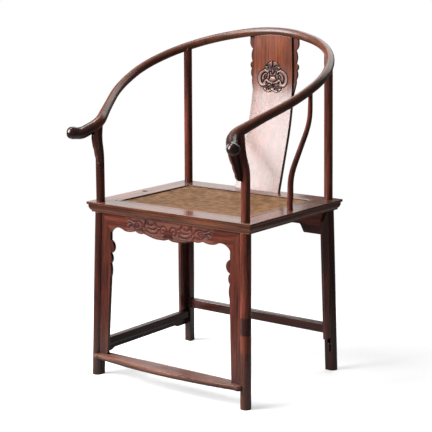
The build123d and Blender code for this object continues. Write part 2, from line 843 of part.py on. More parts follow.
side_middle_z = left_stretcher_bottom + left_stretcher_height / 2
left_stretcher, left_stretcher_tenons = stretcher(
    Plane.XZ, -leg_x - spread(leg_splay_x, side_middle_z), leg_y + spread(leg_splay_y, side_middle_z),
    left_stretcher_height, side_middle_z, [front_left_blank, rear_left_blank],
)
right_stretcher_mortises = mirrored(left_stretcher_tenons)
back_middle_z = back_stretcher_bottom + back_stretcher_height / 2
back_stretcher, back_stretcher_tenons = stretcher(
    Plane.YZ, leg_y + spread(leg_splay_y, back_middle_z), leg_x + spread(leg_splay_x, back_middle_z),
    back_stretcher_height, back_middle_z, [rear_left_blank, rear_right_blank],
)

with BuildPart() as left_stretcher_apron:
    apron_low = left_stretcher_bottom - under_apron_height - seat_height
    apron_end = leg_face(leg_y, leg_splay_y, left_stretcher_bottom) + apron_tongue
    apron_top = apron_low + 2 * under_apron_height
    drop_start = apron_end - apron_tongue - under_apron_drop_length
    with BuildSketch(left_plane):
        with BuildLine():
            Polyline(
                (0, apron_low), (drop_start, apron_low),
                (drop_start + 2 * under_apron_drop, apron_low - under_apron_drop),
                (apron_end, apron_low - under_apron_drop), (apron_end, apron_top),
            )
            mirror(about=Plane.YZ)
            Line((apron_end, apron_top), (-apron_end, apron_top))
        make_face()
    extrude(amount=-under_apron_thickness)
    split(bisect_by=Plane.XY.offset(left_stretcher_bottom), keep=Keep.BOTTOM)

board_z = footrest_top - footrest_thickness / 2
leg_centre_y = leg_y + spread(leg_splay_y, board_z)
leg_face_x = leg_face(leg_x, leg_splay_x, board_z)
with BuildPart() as footrest_tenons:
    with BuildSketch(Plane.XY.offset(board_z - footrest_tenon_thickness / 2)):
        with Locations((-leg_face_x, -leg_centre_y), (leg_face_x, -leg_centre_y)):
            Rectangle(2 * footrest_tenon_length, leg_radius)
    extrude(amount=footrest_tenon_thickness)

with BuildPart() as footrest:
    back_y = footrest_back_set - leg_centre_y
    end_x = leg_face_x + footrest_end_lap
    end_y = footrest_end_bury - leg_centre_y - leg_radius
    corner_x = leg_face_x - footrest_corner_set
    corner_y = back_y - footrest_end_depth
    with BuildSketch(Plane.XY.offset(footrest_top - footrest_thickness)):
        with BuildLine():
            ThreePointArc((-corner_x, corner_y), (0, back_y - footrest_depth), (corner_x, corner_y))
            for side in (-1, 1):
                bulge = (side * (end_x - footrest_end_bury), (corner_y + end_y) / 2 - footrest_end_bury)
                ThreePointArc((side * corner_x, corner_y), bulge, (side * end_x, end_y))
                Line((side * end_x, end_y), (side * end_x, back_y))
            Line((-end_x, back_y), (end_x, back_y))
        make_face()
    extrude(amount=footrest_thickness)
    add(front_left_blank.part, mode=Mode.SUBTRACT)
    add(front_right_blank.part, mode=Mode.SUBTRACT)
    add(footrest_tenons.part)
    front_edges = footrest.edges().filter_by(GeomType.CIRCLE).filter_by(lambda edge: edge.center().Y < end_y)
    fillet(front_edges.group_by(Axis.Z)[0], radius=footrest_edge_radius)
    front_edges = footrest.edges().filter_by(GeomType.CIRCLE).filter_by(lambda edge: edge.center().Y < end_y)
    fillet(front_edges.group_by(Axis.Z)[-1], radius=footrest_edge_radius / 2)


# ---- Legs: the blanks with every mortise and groove cut; the right-hand ones stay open ----

def cut_leg(blank, mates):
    with BuildPart() as leg:
        add(blank.part)
        for mate in mates:
            add(mate.part, mode=Mode.SUBTRACT)
    return leg


side_stiles = [left_front_stile, left_rear_stile, left_stretcher_apron]
right_side_grooves = [mirrored(left_front_stile), right_rear_stile, mirrored(left_stretcher_apron)]
front_left_leg = cut_leg(
    front_left_blank, side_stiles + [front_left_stile, footrest_tenons, left_stretcher_tenons]
)
front_right_leg = cut_leg(
    front_right_blank, right_side_grooves + [front_right_stile, footrest_tenons, right_stretcher_mortises]
)
rear_left_leg = cut_leg(
    rear_left_blank, side_stiles + [rear_apron, back_stretcher_tenons, left_stretcher_tenons]
)
rear_right_leg = cut_leg(
    rear_right_blank, right_side_grooves + [rear_apron, back_stretcher_tenons, right_stretcher_mortises]
)


# ---- One STEP file for each piece ----

pieces = {
    "front_left_leg": front_left_leg,
    "front_right_leg": front_right_leg,
    "rear_left_leg": rear_left_leg,
    "rear_right_leg": rear_right_leg,
    "seat_front_rail": seat_front_rail,
    "seat_back_rail": seat_back_rail,
    "seat_left_rail": seat_left_rail,
    "seat_right_rail": seat_right_rail,
    "cane_panel": cane_panel,
    "front_press_strip": front_press_strip,
    "back_press_strip": back_press_strip,
    "left_press_strip": left_press_strip,
    "right_press_strip": right_press_strip,
    "left_seat_batten": left_seat_batten,
    "right_seat_batten": right_seat_batten,
    "crest_back": crest_back,
    "crest_left_shoulder": crest_left_shoulder,
    "crest_right_shoulder": crest_right_shoulder,
    "left_arm": left_arm,
    "right_arm": right_arm,
    "crest_wedge_pins": crest_wedge_pins,
    "splat": splat,
    "splat_left_flange": splat_left_flange,
    "splat_right_flange": splat_right_flange,
    "right_side_post": right_side_post,
    "left_arm_bracket": left_arm_bracket,
    "right_arm_bracket": right_arm_bracket,
    "front_apron": front_apron,
    "front_left_stile": front_left_stile,
    "front_right_stile": front_right_stile,
    "left_apron": left_apron,
    "left_front_stile": left_front_stile,
    "left_rear_stile": left_rear_stile,
    "right_rear_stile": right_rear_stile,
    "rear_apron": rear_apron,
    "left_stretcher": left_stretcher,
    "left_stretcher_apron": left_stretcher_apron,
    "back_stretcher": back_stretcher,
    "footrest": footrest,
}
os.makedirs("parts", exist_ok=True)
for label, piece in pieces.items():
    piece.part.label = label
    export_step(piece.part, f"parts/{label}.step")
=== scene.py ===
from math import cos, pi, radians, sin

import bmesh
import bpy
import numpy as np
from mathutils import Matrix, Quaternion, Vector
from mathutils.bvhtree import BVHTree


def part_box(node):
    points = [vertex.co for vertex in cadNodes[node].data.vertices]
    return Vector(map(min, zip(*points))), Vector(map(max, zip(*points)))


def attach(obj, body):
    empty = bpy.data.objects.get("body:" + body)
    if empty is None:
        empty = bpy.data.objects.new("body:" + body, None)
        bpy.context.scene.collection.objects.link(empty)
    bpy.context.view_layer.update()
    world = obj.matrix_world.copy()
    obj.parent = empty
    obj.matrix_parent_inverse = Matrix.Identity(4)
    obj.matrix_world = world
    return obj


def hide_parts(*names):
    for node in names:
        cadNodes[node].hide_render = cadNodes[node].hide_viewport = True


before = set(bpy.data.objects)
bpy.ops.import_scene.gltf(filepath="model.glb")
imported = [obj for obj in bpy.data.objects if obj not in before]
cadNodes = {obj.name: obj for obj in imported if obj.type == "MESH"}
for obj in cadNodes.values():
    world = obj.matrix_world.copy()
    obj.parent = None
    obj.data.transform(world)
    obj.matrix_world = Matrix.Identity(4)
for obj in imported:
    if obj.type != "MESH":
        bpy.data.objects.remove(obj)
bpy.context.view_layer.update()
print("frame:", len(cadNodes), "nodes")

across = Vector((1, 0, 0))   # grain directions
inward = Vector((0, 1, 0))
upright = Vector((0, 0, 1))


# Shader helpers

def addNode(tree, kind, values=None, **settings):
    made = tree.nodes.new("ShaderNode" + kind)
    for name, value in settings.items():
        setattr(made, name, value)
    for name, value in (values or {}).items():
        made.inputs[name].default_value = value
    return made


def fill(tree, socket, value):
    # Sets the socket to a number or a colour, or links it to another node's output
    if isinstance(value, tuple):
        socket.default_value = (*value, 1)
    elif isinstance(value, (int, float)):
        socket.default_value = value
    else:
        tree.links.new(value, socket)


def mathNode(tree, operation, *values):
    made = addNode(tree, "Math", operation=operation)
    for slot, value in enumerate(values):
        fill(tree, made.inputs[slot], value)
    return made.outputs[0]


def mixColour(tree, share, first, second):
    made = addNode(tree, "Mix", data_type="RGBA")
    for slot, value in ((0, share), (6, first), (7, second)):
        fill(tree, made.inputs[slot], value)
    return made.outputs[2]


def rangeNode(tree, value, low, high, toLow=0.0, toHigh=1.0, smooth=True):
    made = addNode(tree, "MapRange", {1: low, 2: high, 3: toLow, 4: toHigh})
    made.interpolation_type = "SMOOTHSTEP" if smooth else "LINEAR"
    tree.links.new(value, made.inputs[0])
    return made.outputs[0]


def noiseNode(tree, vector, scale, detail=3, roughness=0.55):
    made = addNode(tree, "TexNoise", {"Scale": scale, "Detail": detail, "Roughness": roughness})
    tree.links.new(vector, made.inputs["Vector"])
    return made.outputs[0]


def newGroup(name, inputs, outputs):
    tree = bpy.data.node_groups.new(name, "ShaderNodeTree")
    for way, sockets in (("INPUT", inputs), ("OUTPUT", outputs)):
        for label, kind in sockets.items():
            tree.interface.new_socket(label, in_out=way, socket_type="NodeSocket" + kind)
    return tree, tree.nodes.new("NodeGroupInput").outputs, tree.nodes.new("NodeGroupOutput").inputs


def useGroup(tree, group, values):
    made = addNode(tree, "Group", node_tree=group)
    for name, value in values.items():
        fill(tree, made.inputs[name], value)
    return made.outputs


# Helpers for objects and materials

def newMaterial(name):
    material = bpy.data.materials.new(name)
    material.use_nodes = True
    return material, material.node_tree, material.node_tree.nodes["Principled BSDF"]


def dress(piece, material):
    piece.data.materials.clear()
    piece.data.materials.append(material)


def addObject(name, data):
    made = bpy.data.objects.new(name, data)
    bpy.context.scene.collection.objects.link(made)
    return made


def meshObject(mesh, name, smooth=True):
    data = bpy.data.meshes.new(name)
    mesh.to_mesh(data)
    mesh.free()
    if smooth:
        data.shade_smooth()
    return addObject(name, data)


# Shader groups shared by the finishes

grainPattern = {
    # scale of each noise, its share of that along the grain, detail, roughness and the range that shows
    "wander": {"scale": 14, "long": 0.25, "detail": 2, "rough": 0.55},
    "figure": {"scale": 75, "long": 0.07, "detail": 3, "rough": 0.6, "range": (0.36, 0.66)},
    "streak": {"scale": 330, "long": 0.025, "detail": 2, "rough": 0.6, "range": (0.5, 0.68)},
    "pore": {"scale": 1500, "long": 0.045, "detail": 1, "rough": 0.5, "range": (0.56, 0.7)},
    "patch": {"scale": 9, "long": 0.4, "detail": 2, "rough": 0.55, "range": (0.3, 0.7)},
    "wanderBy": 0.012, "poreShare": 0.45, "streakDepth": 0.35,
}
edgeTintSpread = {"samples": 6, "bend": (0.98, 0.86), "patchScale": 45, "patches": (0.3, 0.62), "least": 0.35}
shadeAndGrimeSpread = {"samples": 8, "closed": (0.85, 0.35), "patchScale": 60, "patches": (0.25, 0.6), "least": 0.55}


def grainNoise(tree, vector, name):
    values = grainPattern[name]
    drawn = addNode(tree, "VectorMath", {1: (1, 1, values["long"])}, operation="MULTIPLY")
    tree.links.new(vector, drawn.inputs[0])
    noise = noiseNode(tree, drawn.outputs[0], values["scale"], values["detail"], values["rough"])
    return rangeNode(tree, noise, *values["range"]) if "range" in values else noise


def woodGrainGroup():
    # Grain runs along Z of Vector: broad figure, fine dark streaks and short pores
    tree, given, out = newGroup(
        "woodGrain",
        {"Vector": "Vector", "Light": "Color", "Middle": "Color", "Dark": "Color",
         "Figure": "Float", "Streaks": "Float"},
        {"Color": "Color", "Height": "Float"},
    )
    wanderBy = grainPattern["wanderBy"]
    bent = addNode(tree, "VectorMath", {1: (wanderBy, wanderBy, 0)}, operation="MULTIPLY_ADD")
    tree.links.new(grainNoise(tree, given["Vector"], "wander"), bent.inputs[0])
    tree.links.new(given["Vector"], bent.inputs[2])
    figure = grainNoise(tree, bent.outputs[0], "figure")
    streak = grainNoise(tree, bent.outputs[0], "streak")
    pore = grainNoise(tree, given["Vector"], "pore")
    patch = grainNoise(tree, given["Vector"], "patch")
    base = mixColour(tree, patch, given["Middle"], given["Light"])
    shares = (given["Figure"], given["Streaks"], grainPattern["poreShare"])
    for mask, share in zip((figure, streak, pore), shares):
        base = mixColour(tree, mathNode(tree, "MULTIPLY", mask, share), base, given["Dark"])
    tree.links.new(base, out["Color"])
    height = mathNode(tree, "MULTIPLY_ADD", pore, -1.0, 1.0)
    height = mathNode(tree, "MULTIPLY_ADD", streak, -grainPattern["streakDepth"], height)
    tree.links.new(height, out["Height"])
    return tree


def brokenUp(tree, mask, vector, values):
    # Thins a mask out in patches
    patches = noiseNode(tree, vector, values["patchScale"])
    patches = rangeNode(tree, patches, *values["patches"], values["least"], 1.0)
    return mathNode(tree, "MULTIPLY", mask, patches)


def edgeMaskGroup():
    # 1 on sharp edges, inside and outside
    tree, given, out = newGroup(
        "edgeMask", {"Vector": "Vector", "Radius": "Float"}, {"Mask": "Float", "Normal": "Vector"},
    )
    bevel = addNode(tree, "Bevel", samples=edgeTintSpread["samples"])
    tree.links.new(given["Radius"], bevel.inputs["Radius"])
    flat = tree.nodes.new("ShaderNodeNewGeometry").outputs["Normal"]
    dot = addNode(tree, "VectorMath", operation="DOT_PRODUCT")
    tree.links.new(bevel.outputs[0], dot.inputs[0])
    tree.links.new(flat, dot.inputs[1])
    bend = rangeNode(tree, dot.outputs["Value"], *edgeTintSpread["bend"])
    tree.links.new(brokenUp(tree, bend, given["Vector"], edgeTintSpread), out["Mask"])
    tree.links.new(bevel.outputs[0], out["Normal"])
    return tree


def shadeAndGrimeGroup():
    # Painted shade in corners and hollows, together with the old polish and dust that gather there
    tree, given, out = newGroup("shadeAndGrimeMask", {"Vector": "Vector", "Reach": "Float"}, {"Mask": "Float"})
    hollow = addNode(tree, "AmbientOcclusion", samples=shadeAndGrimeSpread["samples"])
    tree.links.new(given["Reach"], hollow.inputs["Distance"])
    closed = rangeNode(tree, hollow.outputs["AO"], *shadeAndGrimeSpread["closed"])
    tree.links.new(brokenUp(tree, closed, given["Vector"], shadeAndGrimeSpread), out["Mask"])
    return tree


woodGrain = woodGrainGroup()
edgeMask = edgeMaskGroup()
shadeAndGrimeMask = shadeAndGrimeGroup()
print("shader groups made")


# Wood finishes

woodLooks = {
    "frame": {
        "light": (0.190, 0.046, 0.027), "middle": (0.120, 0.029, 0.019), "dark": (0.022, 0.007, 0.006),
        "edge": (0.180, 0.062, 0.034), "edgeShare": 0.35, "figure": 0.75, "streaks": 0.55,
        "roughness": (0.15, 0.24), "specular": 0.4, "coat": 0.1, "bump": 0.35, "softEdges": True,
    },
    "rail": {
        "light": (0.240, 0.074, 0.031), "middle": (0.150, 0.043, 0.020), "dark": (0.022, 0.008, 0.006),
        # the pale edge colour is a painted highlight on the moulding's edges, with some wear
        "edge": (0.300, 0.120, 0.060), "edgeShare": 0.55, "figure": 0.65, "streaks": 0.5,
        "roughness": (0.15, 0.21), "specular": 0.42, "coat": 0.08, "bump": 0.15, "softEdges": True,
    },
    "crest": {
        "light": (0.170, 0.050, 0.022), "middle": (0.100, 0.029, 0.015), "dark": (0.020, 0.008, 0.006),
        "edge": (0.014, 0.007, 0.006), "edgeShare": 0.6, "figure": 0.5, "streaks": 0.25,
        "roughness": (0.3, 0.36), "specular": 0.5, "coat": 0.1, "bump": 0.05, "softEdges": False,
    },
    "splat": {
        "light": (0.250, 0.062, 0.024), "middle": (0.165, 0.042, 0.020), "dark": (0.046, 0.015, 0.010),
        "edge": (0.030, 0.012, 0.009), "edgeShare": 0.6, "figure": 0.5, "streaks": 0.8,
        "roughness": (0.15, 0.22), "specular": 0.5, "coat": 0.1, "bump": 0.35, "softEdges": True,
    },
    "flange": {
        "light": (0.190, 0.052, 0.028), "middle": (0.120, 0.034, 0.020), "dark": (0.018, 0.007, 0.006),
        # the near-black edge colour is painted shade on the flanges' thin sides
        "edge": (0.010, 0.005, 0.005), "edgeShare": 0.65, "figure": 0.6, "streaks": 0.6,
        "roughness": (0.18, 0.26), "specular": 0.2, "coat": 0.0, "bump": 0.35, "softEdges": True,
    },
    "footrest": {
        "light": (0.240, 0.088, 0.052), "middle": (0.160, 0.050, 0.030), "dark": (0.045, 0.018, 0.013),
        "edge": (0.360, 0.215, 0.150), "edgeShare": 0.5, "figure": 0.6, "streaks": 0.6,
        "roughness": (0.28, 0.42), "specular": 0.36, "coat": 0.05, "bump": 0.35, "softEdges": True,
    },
    # painted shade: a darker, less glossy copy of the frame wood for the left apron and stretchers, which
    # sit in shade
    "shaded": {
        "light": (0.055, 0.020, 0.014), "middle": (0.034, 0.012, 0.009), "dark": (0.010, 0.005, 0.004),
        "edge": (0.060, 0.028, 0.020), "edgeShare": 0.4, "figure": 0.7, "streaks": 0.5,
        "roughness": (0.18, 0.3), "specular": 0.2, "coat": 0.0, "bump": 0.35, "softEdges": True,
    },
    "bare": {
        "light": (0.150, 0.080, 0.048), "middle": (0.110, 0.056, 0.036), "dark": (0.045, 0.022, 0.016),
        "edge": (0.110, 0.060, 0.040), "edgeShare": 0.3, "figure": 0.6, "streaks": 0.5,
        "roughness": (0.55, 0.75), "specular": 0.4, "coat": 0.0, "bump": 0.35, "softEdges": True,
    },
}
woodSurface = {
    "poreDepth": 0.00012, "edgeRadius": 0.0016,
    "polishScale": 22, "polishRange": (0.3, 0.7), "coatRoughness": 0.12,
    "shadeGrimeReach": 0.018, "shadeGrimeShare": 0.75, "shadeGrimeColour": (0.010, 0.006, 0.005), "grimeRougher": 0.25,
    "boardStep": (0.37, 0.23, 0.51),   # each node is cut from another place in the board
}


def grainVector(tree, grain, shift):
    # Object coordinates turned so that Z runs along the grain
    place = addNode(tree, "TexCoord").outputs["Object"]
    turn = addNode(tree, "Mapping")
    turn.inputs["Rotation"].default_value = grain.rotation_difference(upright).to_euler()
    turn.inputs["Location"].default_value = [step * shift for step in woodSurface["boardStep"]]
    tree.links.new(place, turn.inputs["Vector"])
    return turn.outputs[0], place


def woodMaterial(name, look, grain, shift, tone=1.0):
    # Also gives back the material's tree, shader and object coordinates, for further touches
    values = woodLooks[look]
    material, tree, shader = newMaterial(name)
    vector, place = grainVector(tree, grain, shift)
    wood = useGroup(tree, woodGrain, {
        "Vector": vector, "Light": tuple(tone * part for part in values["light"]),
        "Middle": tuple(tone * part for part in values["middle"]), "Dark": values["dark"],
        "Figure": values["figure"], "Streaks": values["streaks"],
    })
    edges = useGroup(tree, edgeMask, {"Vector": vector, "Radius": woodSurface["edgeRadius"]})
    shadeGrime = useGroup(tree, shadeAndGrimeMask, {"Vector": vector, "Reach": woodSurface["shadeGrimeReach"]})
    # edge colour: wear on the frame and footrest, dark joint lines on the crest, a painted highlight on the
    # seat rails' mouldings and painted shade on the flanges' thin sides
    tintShare = mathNode(tree, "MULTIPLY", edges["Mask"], values["edgeShare"])
    colour = mixColour(tree, tintShare, wood["Color"], values["edge"])
    # painted shade, with dirt: the wood darkens in corners, hollows and gaps, as under the seat's moulding
    shadeAndDirt = mathNode(tree, "MULTIPLY", shadeGrime["Mask"], woodSurface["shadeGrimeShare"])
    tree.links.new(mixColour(tree, shadeAndDirt, colour, woodSurface["shadeGrimeColour"]), shader.inputs["Base Color"])
    polish = noiseNode(tree, vector, woodSurface["polishScale"])
    rough = rangeNode(tree, polish, *woodSurface["polishRange"], *values["roughness"])
    rough = mathNode(tree, "MULTIPLY_ADD", shadeGrime["Mask"], woodSurface["grimeRougher"], rough)
    tree.links.new(rough, shader.inputs["Roughness"])
    bump = addNode(tree, "Bump", {"Strength": values["bump"], "Distance": woodSurface["poreDepth"]})
    tree.links.new(wood["Height"], bump.inputs["Height"])
    if values["softEdges"]:
        tree.links.new(edges["Normal"], bump.inputs["Normal"])
    tree.links.new(bump.outputs[0], shader.inputs["Normal"])
    shader.inputs["Specular IOR Level"].default_value = values["specular"]
    shader.inputs["Coat Weight"].default_value = values["coat"]
    shader.inputs["Coat Roughness"].default_value = woodSurface["coatRoughness"]
    return material, tree, shader, place


nodeWoods = {}   # node: its look and the direction of its grain
for name in ("front_left_leg", "front_right_leg", "rear_left_leg", "rear_right_leg", "right_side_post",
             "front_left_stile", "front_right_stile", "left_front_stile", "left_rear_stile",
             "right_rear_stile", "left_arm_bracket", "right_arm_bracket"):
    nodeWoods[name] = ("frame", upright)
for name in ("front_apron", "rear_apron", "back_stretcher"):
    nodeWoods[name] = ("frame", across)
for name in ("left_apron", "left_stretcher", "left_stretcher_apron"):
    nodeWoods[name] = ("shaded", inward)
for name in ("seat_front_rail", "seat_back_rail", "front_press_strip", "back_press_strip"):
    nodeWoods[name] = ("rail", across)
for name in ("seat_left_rail", "seat_right_rail", "left_press_strip", "right_press_strip"):
    nodeWoods[name] = ("rail", inward)
for name in ("left_seat_batten", "right_seat_batten"):
    nodeWoods[name] = ("bare", inward)
nodeWoods["splat"] = ("splat", upright)
for name in ("splat_left_flange", "splat_right_flange"):
    nodeWoods[name] = ("flange", upright)
nodeWoods["footrest"] = ("footrest", across)
for name in ("crest_back", "crest_wedge_pins"):
    nodeWoods[name] = ("crest", across)
crestChords = {   # of the bent sections on the right
    "shoulder": (0.3, -0.9, -0.32), "arm": (-0.12, -0.9, -0.42),
}
for side, sign in (("left", -1), ("right", 1)):
    for section, name in (("shoulder", f"crest_{side}_shoulder"), ("arm", f"{side}_arm")):
        x, y, z = crestChords[section]
        nodeWoods[name] = ("crest", Vector((sign * x, y, z)).normalized())

nodeToneAndLight = {   # painted light and shade, with some of the wood's own tone: how pale or dark a node's wood is beside the rest
    "front_left_leg": 0.55, "front_right_leg": 1.6, "front_left_stile": 0.6, "rear_apron": 2.0,
    "back_stretcher": 0.4, "right_rear_stile": 1.4, "rear_right_leg": 1.15, "rear_left_leg": 1.1,
}
handHold = {"start": -0.235, "end": -0.28, "colour": (0.012, 0.006, 0.006), "share": 0.85, "rougher": -0.14}
footrestShade = {"start": 0.064, "end": 0.057, "colour": (0.020, 0.011, 0.009), "share": 0.85}
legShade = {"start": 0.26, "end": 0.06, "colour": (0.034, 0.014, 0.008), "share": 0.6}
rearShade = {"start": 0.52, "end": 0.49, "colour": (0.012, 0.006, 0.005), "share": 0.55}
legStain = [   # a dark stain with paler wood below it
    {"start": 0.262, "end": 0.256, "until": (0.206, 0.212), "colour": (0.020, 0.009, 0.009), "share": 0.7},
    {"start": 0.212, "end": 0.206, "until": (0.150, 0.175), "colour": (0.210, 0.052, 0.022), "share": 0.6},
]
socketDarkening = {   # darker and rougher in and round the open socket
    "middle": (-0.2665, -0.001), "radius": 0.0095, "core": 0.0065,
    "colour": (0.018, 0.008, 0.006), "share": 0.9, "rougher": 0.5,
}
# footrestShade (with some grime) and rearShade are painted shade, under the footrest's front and under the
# seat; legStain is a stain; legShade darkens the legs towards the floor
heightStainsAndShade = {
    "footrest": [footrestShade], "front_left_leg": [legShade], "front_right_leg": [legShade, *legStain],
    "rear_left_leg": [legShade, rearShade], "rear_right_leg": [legShade, rearShade],
}


def tintWood(tree, shader, share, colour):
    wood = shader.inputs["Base Color"].links[0].from_socket
    tree.links.new(mixColour(tree, share, wood, colour), shader.inputs["Base Color"])


def roughenWood(tree, shader, share, by):
    rough = shader.inputs["Roughness"].links[0].from_socket
    tree.links.new(mathNode(tree, "MULTIPLY_ADD", share, by, rough), shader.inputs["Roughness"])


def tintAlong(tree, shader, place, axis, values):
    # Tints a stretch of one axis with the values' colour, a stain on some nodes and painted shade on others;
    # returns its share at each spot
    parts = addNode(tree, "SeparateXYZ")
    tree.links.new(place, parts.inputs[0])
    share = rangeNode(tree, parts.outputs[axis], values["start"], values["end"], 0.0, values["share"])
    if "until" in values:
        share = mathNode(tree, "MULTIPLY", share, rangeNode(tree, parts.outputs[axis], *values["until"]))
    tintWood(tree, shader, share, values["colour"])
    return share


def tintRound(tree, shader, place, values):
    # Tints and roughens the wood round one upright line
    flat = addNode(tree, "VectorMath", {1: (1, 1, 0)}, operation="MULTIPLY")
    tree.links.new(place, flat.inputs[0])
    distance = addNode(tree, "VectorMath", {1: (*values["middle"], 0)}, operation="DISTANCE")
    tree.links.new(flat.outputs[0], distance.inputs[0])
    distance = distance.outputs["Value"]
    share = rangeNode(tree, distance, values["radius"], values["core"], 0.0, values["share"])
    tintWood(tree, shader, share, values["colour"])
    roughenWood(tree, shader, share, values["rougher"])


for shift, (name, (look, grain)) in enumerate(nodeWoods.items()):
    tone = nodeToneAndLight.get(name, 1.0)
    material, tree, shader, place = woodMaterial(f"{name}_wood", look, grain, shift, tone)
    if name in ("left_arm", "right_arm"):   # hands have darkened and polished the ends
        share = tintAlong(tree, shader, place, "Y", handHold)
        roughenWood(tree, shader, share, handHold["rougher"])
    if name == "seat_left_rail":
        tintRound(tree, shader, place, socketDarkening)
    for values in heightStainsAndShade.get(name, []):
        tintAlong(tree, shader, place, "Z", values)
    dress(cadNodes[name], material)
print("wood finishes on", len(nodeWoods), "nodes")


# Carvings

medallion = {
    "middle": 0.862, "halfWidth": 0.0615, "low": 0.813, "high": 0.917, "pitch": 0.0007,
    "rise": 0.0009, "sink": 0.0043, "shoulder": (0.0005, 0.0028), "back": 0.0065,
    "cut": 0.0036, "cutWidth": 0.0018, "round": 0.0008, "roundWidth": 0.0036,
    "beside": 0.004,   # where the splat's face is felt, out from the carving
    "leftOut": 0.001,   # ground this close to the pocket's floor is left out
    "tones": (-0.0028, 0.0006),   # how high a hollow and a crown stand
    "finish": {
        # hollow: painted shade in the cuts; crown: a painted highlight, with some wear, on the high spots
        "hollow": (0.010, 0.005, 0.005), "hollowShare": 0.98,
        "crown": (0.20, 0.125, 0.108), "crownShare": 0.75,
        "rougher": 0.02, "specular": 0.5,
    },
    # millimetres out from the centre line and up from the middle; each line is cut on both sides
    "outline": [[(0, 51.4), (19.4, 43.7), (33.1, 24.3)], [(33.1, 24.3), (57, -2.9), (35.3, -33)],
                [(35.3, -33), (19.4, -45.6), (0, -40.7)]],
    "grooves": [
        [(18, 9), (20, 13), (26, 14.5), (33, 12), (39, 6), (42, -2), (41, -11), (37, -18)],
        [(23, 34), (17, 37), (10, 36), (6, 32), (7, 28), (12, 26.5), (18, 28), (17, 31.5), (13, 31.5)],
        [(28, 27.5), (22, 24), (15, 22), (8, 23)],
        [(0, 48), (0, 41), (1.2, 34), (0, 29)],
        [(0, 29), (5.5, 21), (4.5, 15), (0, 9.5)],
        [(9, 19), (13, 16), (12, 11)],
        [(11, 6), (11, 0), (15, -5)],
        [(11, 6), (5, 4), (0, 4.5)],
        [(24, -3), (17, -6), (12, -10), (6, -12), (0, -14.5)],
        [(24, -3), (29, -6), (34, -11), (36, -17)],
        [(24, 8), (29, 4), (31, -1)],
        [(20, 3), (23, 1)],
        [(36, -30), (29, -31), (24, -27), (18, -21), (12, -19), (6, -21), (3, -26)],
        [(24, -14), (21, -17), (24, -20)],
        [(0, -20), (0, -30)],
        [(3, -31), (6, -27.5), (11, -27), (15, -31), (13.5, -36), (9, -36.5), (8, -33)],
        [(18, -27), (22, -32), (20, -38)],
    ],
}
apronCarving = {
    "halfWidth": 0.172, "columns": 392, "rows": 56, "edgeIn": 0.0012, "topIn": 0.0004,
    "rise": 0.0012, "sink": 0.0006, "ends": 0.030, "foot": 0.0042, "back": 0.002,
    "cut": 0.0019, "cutWidth": 0.0014, "round": 0.0008, "roundWidth": 0.0042, "bead": 0.0048,
    "beadShare": 0.6, "plain": 0.8, "hollowAt": 0.0018,
    "faceIn": (0.03, 0.008),   # up from the apron's foot and down from its head, where its lean is felt
    "footIn": (0.003, 0.05),   # behind the face and below the apron, where its lobed foot is felt
    "offMiddle": 0.001,   # clear of a mesh edge on the middle line
    "finish": {
        # hollow: painted shade in the cuts; crown: a painted highlight, with some wear, on the high spots
        "hollow": (0.016, 0.007, 0.006), "hollowShare": 0.95,
        "crown": (0.22, 0.085, 0.062), "crownShare": 0.35,
        "rougher": 0.24, "specular": 0.26,
    },
    # millimetres out from the middle and up from the floor
    "grooves": [
        [(0, 452), (0, 467)],
        [(6.5, 448), (7, 458), (6, 467)],
        [(13, 446), (12.5, 454), (13.5, 461)],
        [(5, 468), (10, 475), (19, 477.5), (27, 473), (30, 465), (26, 458), (19, 457), (14, 461), (15, 466),
         (19, 467)],
        [(28, 474.5), (36, 474), (43, 478), (49, 485)],
        [(31, 468), (37, 463), (41, 457), (50, 453.5), (62, 452.5), (73, 456), (83, 460)],
        [(44, 470), (52, 465), (62, 465), (72, 468)],
        [(58, 479), (65, 475), (72, 478), (76, 485)],
        [(82, 488), (83.5, 479), (88, 471)],
        [(86, 466), (93, 470), (98, 478), (106, 482), (116, 482.5), (126, 480), (136, 482), (145, 485.5)],
        [(104, 459), (110, 456.5), (118, 458), (125, 463), (132, 467), (142, 465)],
        [(107, 470), (110, 476), (117, 477), (121, 472), (119, 465.5), (113, 464), (110, 468), (114, 471.5)],
        [(136, 475), (146, 475), (155, 471), (157, 464), (151, 459), (143, 460)],
        [(96, 462), (92, 456), (86, 452)],
        [(130, 472), (138, 470)],
        [(160, 480), (152, 482)],
    ],
}
carvedTones = {"crown": (0.8, 1.0), "hollow": (0.82, 0.4)}   # where crowns and hollows begin and are full


def smoothLine(points, steps=7):
    # A line that passes smoothly through the points
    points = [np.array(point, float) for point in points]
    points = [2 * points[0] - points[1]] + points + [2 * points[-1] - points[-2]]
    line = []
    for before, start, end, after in zip(points, points[1:], points[2:], points[3:]):
        for share in np.linspace(0, 1, steps, endpoint=False):
            line.append(0.5 * (
                2 * start + (end - before) * share + (2 * before - 5 * start + 4 * end - after) * share ** 2
                + (3 * start - before - 3 * end + after) * share ** 3
            ))
    return np.array(line + [points[-2]])


def arcLine(first, middle, last, steps=16):
    # Points along the circle through three points
    a, b, c = (complex(*point) for point in (first, middle, last))
    ratio = (c - a) / (b - a)
    centre = a - (a - b) * (ratio - abs(ratio) ** 2) / (2j * ratio.imag)
    sweep = np.angle((c - centre) / (a - centre))
    middleSweep = np.angle((b - centre) / (a - centre))
    if middleSweep * sweep < 0 or abs(middleSweep) > abs(sweep):
        sweep -= 2 * pi * np.sign(sweep)
    turned = centre + (a - centre) * np.exp(1j * np.linspace(0, sweep, steps))
    return np.stack([turned.real, turned.imag], axis=1)


def lineDistance(spots, line):
    # How far each spot is from the nearest point of the line
    nearest = np.full(len(spots), 1e9)
    for start, end in zip(line, line[1:]):
        run = end - start
        share = np.clip((spots - start) @ run / max(run @ run, 1e-12), 0, 1)
        gap = spots - start - share[:, None] * run
        nearest = np.minimum(nearest, np.hypot(gap[:, 0], gap[:, 1]))
    return nearest


